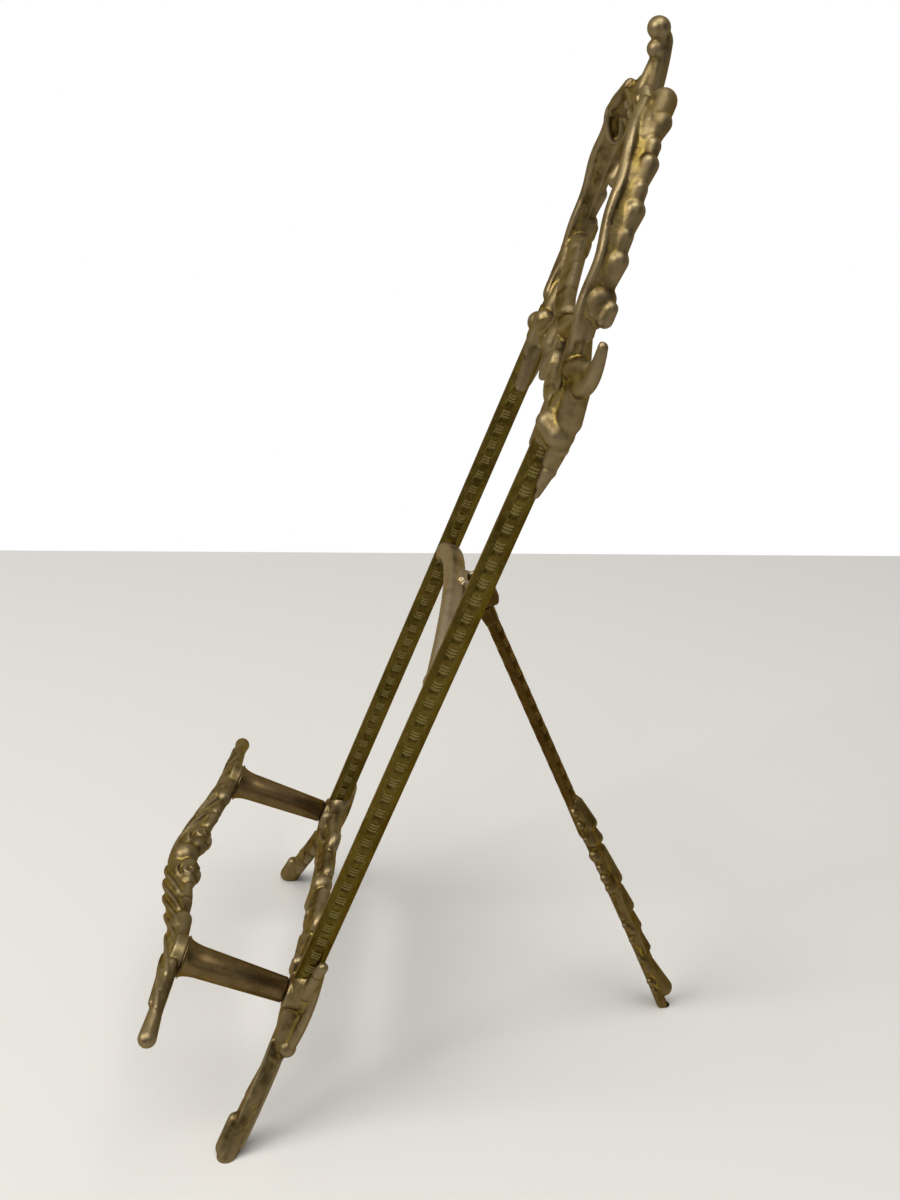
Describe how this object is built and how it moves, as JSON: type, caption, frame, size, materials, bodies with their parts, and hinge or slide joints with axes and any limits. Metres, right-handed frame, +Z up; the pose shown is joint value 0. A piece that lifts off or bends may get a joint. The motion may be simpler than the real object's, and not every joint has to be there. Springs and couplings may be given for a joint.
{
  "type": "book stand",
  "caption": "Folding tabletop easel in aged cast brass: leaning engraved rods, scroll crest, scroll ledge on posts for a book, and a hinged rear leg with a leaf foot.",
  "frame": {"origin": "on the table under the middle of the open stand's box", "axes": "+Z up, -Y towards the reader where the book rests, +X to the right seen from behind the book's front, along the hinge pin"},
  "size_m": [0.15, 0.156, 0.2885],
  "materials": {
    "cast_brass": "aged satin casting",
    "engraved_brass": "aged satin, engraved",
    "turned_brass": "aged satin, turned"
  },
  "bodies": {
    "frame": {"crest": "cast_brass", "left_rod": "engraved_brass", "right_rod": "engraved_brass", "crossbar": "cast_brass", "left_foot": "cast_brass", "right_foot": "cast_brass", "apron": "cast_brass", "front_rail": "cast_brass", "left_post": "turned_brass", "right_post": "turned_brass", "post_screws": "turned_brass", "hinge_pin": "turned_brass"},
    "leg": {"rear_leg": "engraved_brass", "leg_foot": "cast_brass"}
  },
  "joints": [
    {"name": "leg_fold", "type": "hinge", "parent": "frame", "child": "leg", "pos_m": [0, 0.01631, 0.14545], "axis": [-1, 0, 0], "range_deg": [0, 42]}
  ]
}
